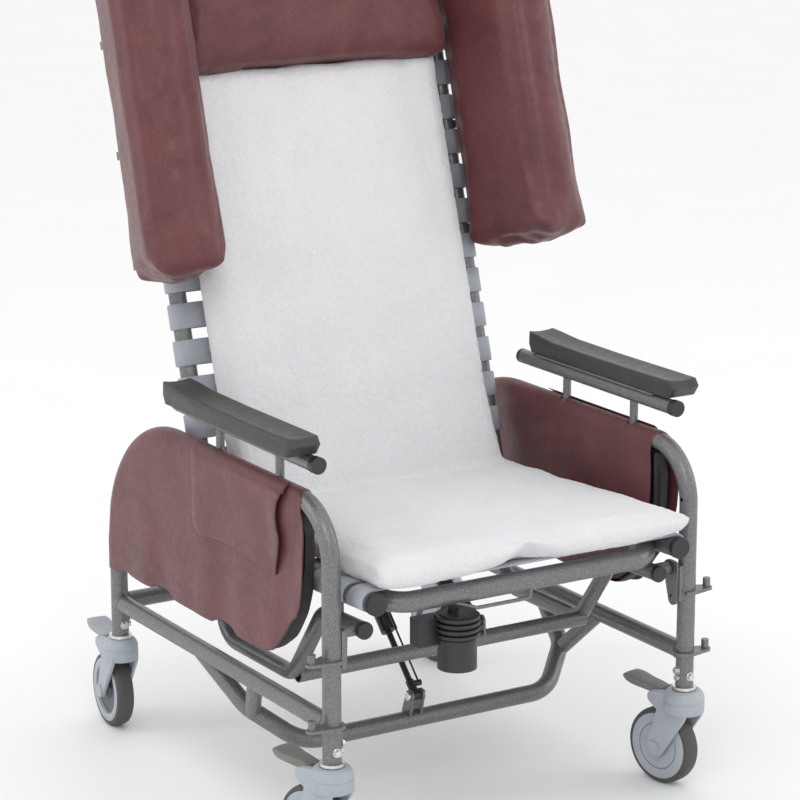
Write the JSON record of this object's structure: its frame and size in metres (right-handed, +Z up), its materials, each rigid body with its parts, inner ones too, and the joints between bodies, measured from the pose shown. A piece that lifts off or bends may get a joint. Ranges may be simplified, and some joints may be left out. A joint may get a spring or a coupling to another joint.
{
  "type": "patient recliner chair",
  "caption": "Ward recliner on braked casters: tubular base, tilting strap seat, reclining back with towelling pads, headrest, side wings and height-adjustable armrests.",
  "frame": {"origin": "middle of the chair's footprint on the floor", "axes": "+Z up, +X to the right seen from the front, the chair faces -Y"},
  "size_m": [0.8226, 0.908, 1.3759],
  "materials": {
    "frame_paint": "grey hammertone paint",
    "zinc": "bright zinc",
    "maroon_vinyl": "grained vinyl, semi-matt",
    "black_board": "black-faced board",
    "arm_foam": "self-skinned polyurethane, satin",
    "black_plastic": "moulded, fine texture",
    "grey_strap": "smooth soft vinyl",
    "towelling": "looped cotton pile",
    "spring_rod": "black nitrided",
    "spring_black": "black satin",
    "caster_grey": "moulded, satin",
    "tyre_grey": "smooth tread",
    "hub_grey": "moulded",
    "pedal_dark": "moulded",
    "pedal_light": "moulded"
  },
  "bodies": {
    "base": {"side_frame_left": "frame_paint", "side_frame_right": "frame_paint", "low_rails": "frame_paint", "stretcher": "frame_paint", "hanger_brackets": "frame_paint", "frame_brackets": "frame_paint", "frame_bolts": "zinc", "caster_stems": "zinc", "side_cover_left": "maroon_vinyl", "side_cover_right": "maroon_vinyl", "panel_boards": "black_board"},
    "armrest_left": {"arm_tube_left": "frame_paint", "arm_pad_left": "arm_foam", "arm_caps_left": "black_plastic"},
    "armrest_right": {"arm_tube_right": "frame_paint", "arm_pad_right": "arm_foam", "arm_caps_right": "black_plastic"},
    "seat": {"seat_tubes": "frame_paint", "seat_cross_tubes": "frame_paint", "cradle_tubes": "frame_paint", "cradle_cross_tubes": "frame_paint", "seat_brackets": "frame_paint", "hinge_pins": "zinc", "seat_caps": "black_plastic", "seat_straps": "grey_strap", "seat_pad": "towelling", "tilt_buffer": "black_plastic", "hanger_rod": "frame_paint"},
    "back": {"back_tubes": "frame_paint", "back_cross_tubes": "frame_paint", "back_straps": "grey_strap", "back_pad": "towelling", "headrest": "maroon_vinyl", "wing_left": "maroon_vinyl", "wing_right": "maroon_vinyl", "wing_brackets": "frame_paint", "push_handle": "frame_paint", "push_grip": "arm_foam"},
    "tilt_rod": {"tilt_spring_rod": "spring_rod", "release_cable": "spring_black"},
    "tilt_cylinder": {"tilt_spring_cylinder": "spring_black", "cable_conduit": "black_plastic"},
    "recline_cylinder": {"recline_spring_cylinder": "spring_black"},
    "recline_rod": {"recline_spring_rod": "spring_rod"},
    "caster_front_left": {"fork_front_left": "caster_grey"},
    "wheel_front_left": {"tyre_front_left": "tyre_grey", "hub_front_left": "hub_grey"},
    "pedal_front_left_body": {"pedal_front_left": "pedal_dark"},
    "caster_front_right": {"fork_front_right": "caster_grey"},
    "wheel_front_right": {"tyre_front_right": "tyre_grey", "hub_front_right": "hub_grey"},
    "pedal_front_right_body": {"pedal_front_right": "pedal_dark"},
    "caster_rear_left": {"fork_rear_left": "caster_grey"},
    "wheel_rear_left": {"tyre_rear_left": "tyre_grey", "hub_rear_left": "hub_grey"},
    "pedal_rear_left_body": {"pedal_rear_left": "pedal_light"},
    "caster_rear_right": {"fork_rear_right": "caster_grey"},
    "wheel_rear_right": {"tyre_rear_right": "tyre_grey", "hub_rear_right": "hub_grey"},
    "pedal_rear_right_body": {"pedal_rear_right": "pedal_light"}
  },
  "joints": [
    {"name": "seat_tilt", "type": "hinge", "parent": "base", "child": "seat", "pos_m": [0, -0.3504, 0.366], "axis": [-1, 0, 0], "range_deg": [0, 12]},
    {"name": "back_recline", "type": "hinge", "parent": "seat", "child": "back", "pos_m": [0, 0.1006, 0.42], "axis": [-1, 0, 0], "range_deg": [0, 55]},
    {"name": "armrest_left_height", "type": "slide", "parent": "base", "child": "armrest_left", "axis": [0, 0, 1], "range_m": [0, 0.06]},
    {"name": "armrest_right_height", "type": "slide", "parent": "base", "child": "armrest_right", "axis": [0, 0, 1], "range_m": [0, 0.06]},
    {"name": "tilt_spring_swing", "type": "hinge", "parent": "base", "child": "tilt_rod", "pos_m": [-0.029, -0.1254, 0.148], "axis": [-1, 0, 0], "range_deg": [0, 14.44]},
    {"name": "tilt_spring_stroke", "type": "slide", "parent": "tilt_rod", "child": "tilt_cylinder", "axis": [0, -0.7071, -0.7071], "range_m": [0, 0.06537]},
    {"name": "recline_spring_swing", "type": "hinge", "parent": "seat", "child": "recline_cylinder", "pos_m": [0.06, -0.1654, 0.268], "axis": [1, 0, 0], "range_deg": [0, 0.636]},
    {"name": "recline_spring_stroke", "type": "slide", "parent": "recline_cylinder", "child": "recline_rod", "axis": [0, -0.9263, -0.3767], "range_m": [0, 0.0419]},
    {"name": "front_left_swivel", "type": "hinge", "parent": "base", "child": "caster_front_left", "pos_m": [-0.324, -0.3664, 0.15], "axis": [0, 0, 1], "continuous": true},
    {"name": "front_left_roll", "type": "hinge", "parent": "caster_front_left", "child": "wheel_front_left", "pos_m": [-0.33266, -0.32735, 0.0625], "axis": [0.9763, 0.2164, 0], "continuous": true},
    {"name": "front_left_brake", "type": "hinge", "parent": "caster_front_left", "child": "pedal_front_left_body", "pos_m": [-0.33222, -0.3293, 0.149], "axis": [-0.9763, -0.2164, 0], "range_deg": [0, 14]},
    {"name": "front_right_swivel", "type": "hinge", "parent": "base", "child": "caster_front_right", "pos_m": [0.324, -0.3664, 0.15], "axis": [0, 0, 1], "continuous": true},
    {"name": "front_right_roll", "type": "hinge", "parent": "caster_front_right", "child": "wheel_front_right", "pos_m": [0.31534, -0.32735, 0.0625], "axis": [0.9763, 0.2164, 0], "continuous": true},
    {"name": "front_right_brake", "type": "hinge", "parent": "caster_front_right", "child": "pedal_front_right_body", "pos_m": [0.31578, -0.3293, 0.149], "axis": [-0.9763, -0.2164, 0], "range_deg": [0, 14]},
    {"name": "rear_left_swivel", "type": "hinge", "parent": "base", "child": "caster_rear_left", "pos_m": [-0.324, 0.3356, 0.15], "axis": [0, 0, 1], "continuous": true},
    {"name": "rear_left_roll", "type": "hinge", "parent": "caster_rear_left", "child": "wheel_rear_left", "pos_m": [-0.32051, 0.37545, 0.0625], "axis": [0.9962, -0.0872, 0], "continuous": true},
    {"name": "rear_left_brake", "type": "hinge", "parent": "caster_rear_left", "child": "pedal_rear_left_body", "pos_m": [-0.32069, 0.37346, 0.149], "axis": [-0.9962, 0.0872, 0], "range_deg": [0, 14]},
    {"name": "rear_right_swivel", "type": "hinge", "parent": "base", "child": "caster_rear_right", "pos_m": [0.324, 0.3356, 0.15], "axis": [0, 0, 1], "continuous": true},
    {"name": "rear_right_roll", "type": "hinge", "parent": "caster_rear_right", "child": "wheel_rear_right", "pos_m": [0.324, 0.3756, 0.0625], "axis": [1, 0, 0], "continuous": true},
    {"name": "rear_right_brake", "type": "hinge", "parent": "caster_rear_right", "child": "pedal_rear_right_body", "pos_m": [0.324, 0.3736, 0.149], "axis": [-1, 0, 0], "range_deg": [0, 14]}
  ],
  "couplings": [
    {"joint": "tilt_spring_swing", "follows": "seat_tilt", "ratio": 1.1783},
    {"joint": "tilt_spring_stroke", "follows": "seat_tilt", "m_per_rad": 0.30974},
    {"joint": "recline_spring_swing", "follows": "back_recline", "ratio": 0.00611},
    {"joint": "recline_spring_stroke", "follows": "back_recline", "m_per_rad": 0.043126}
  ]
}
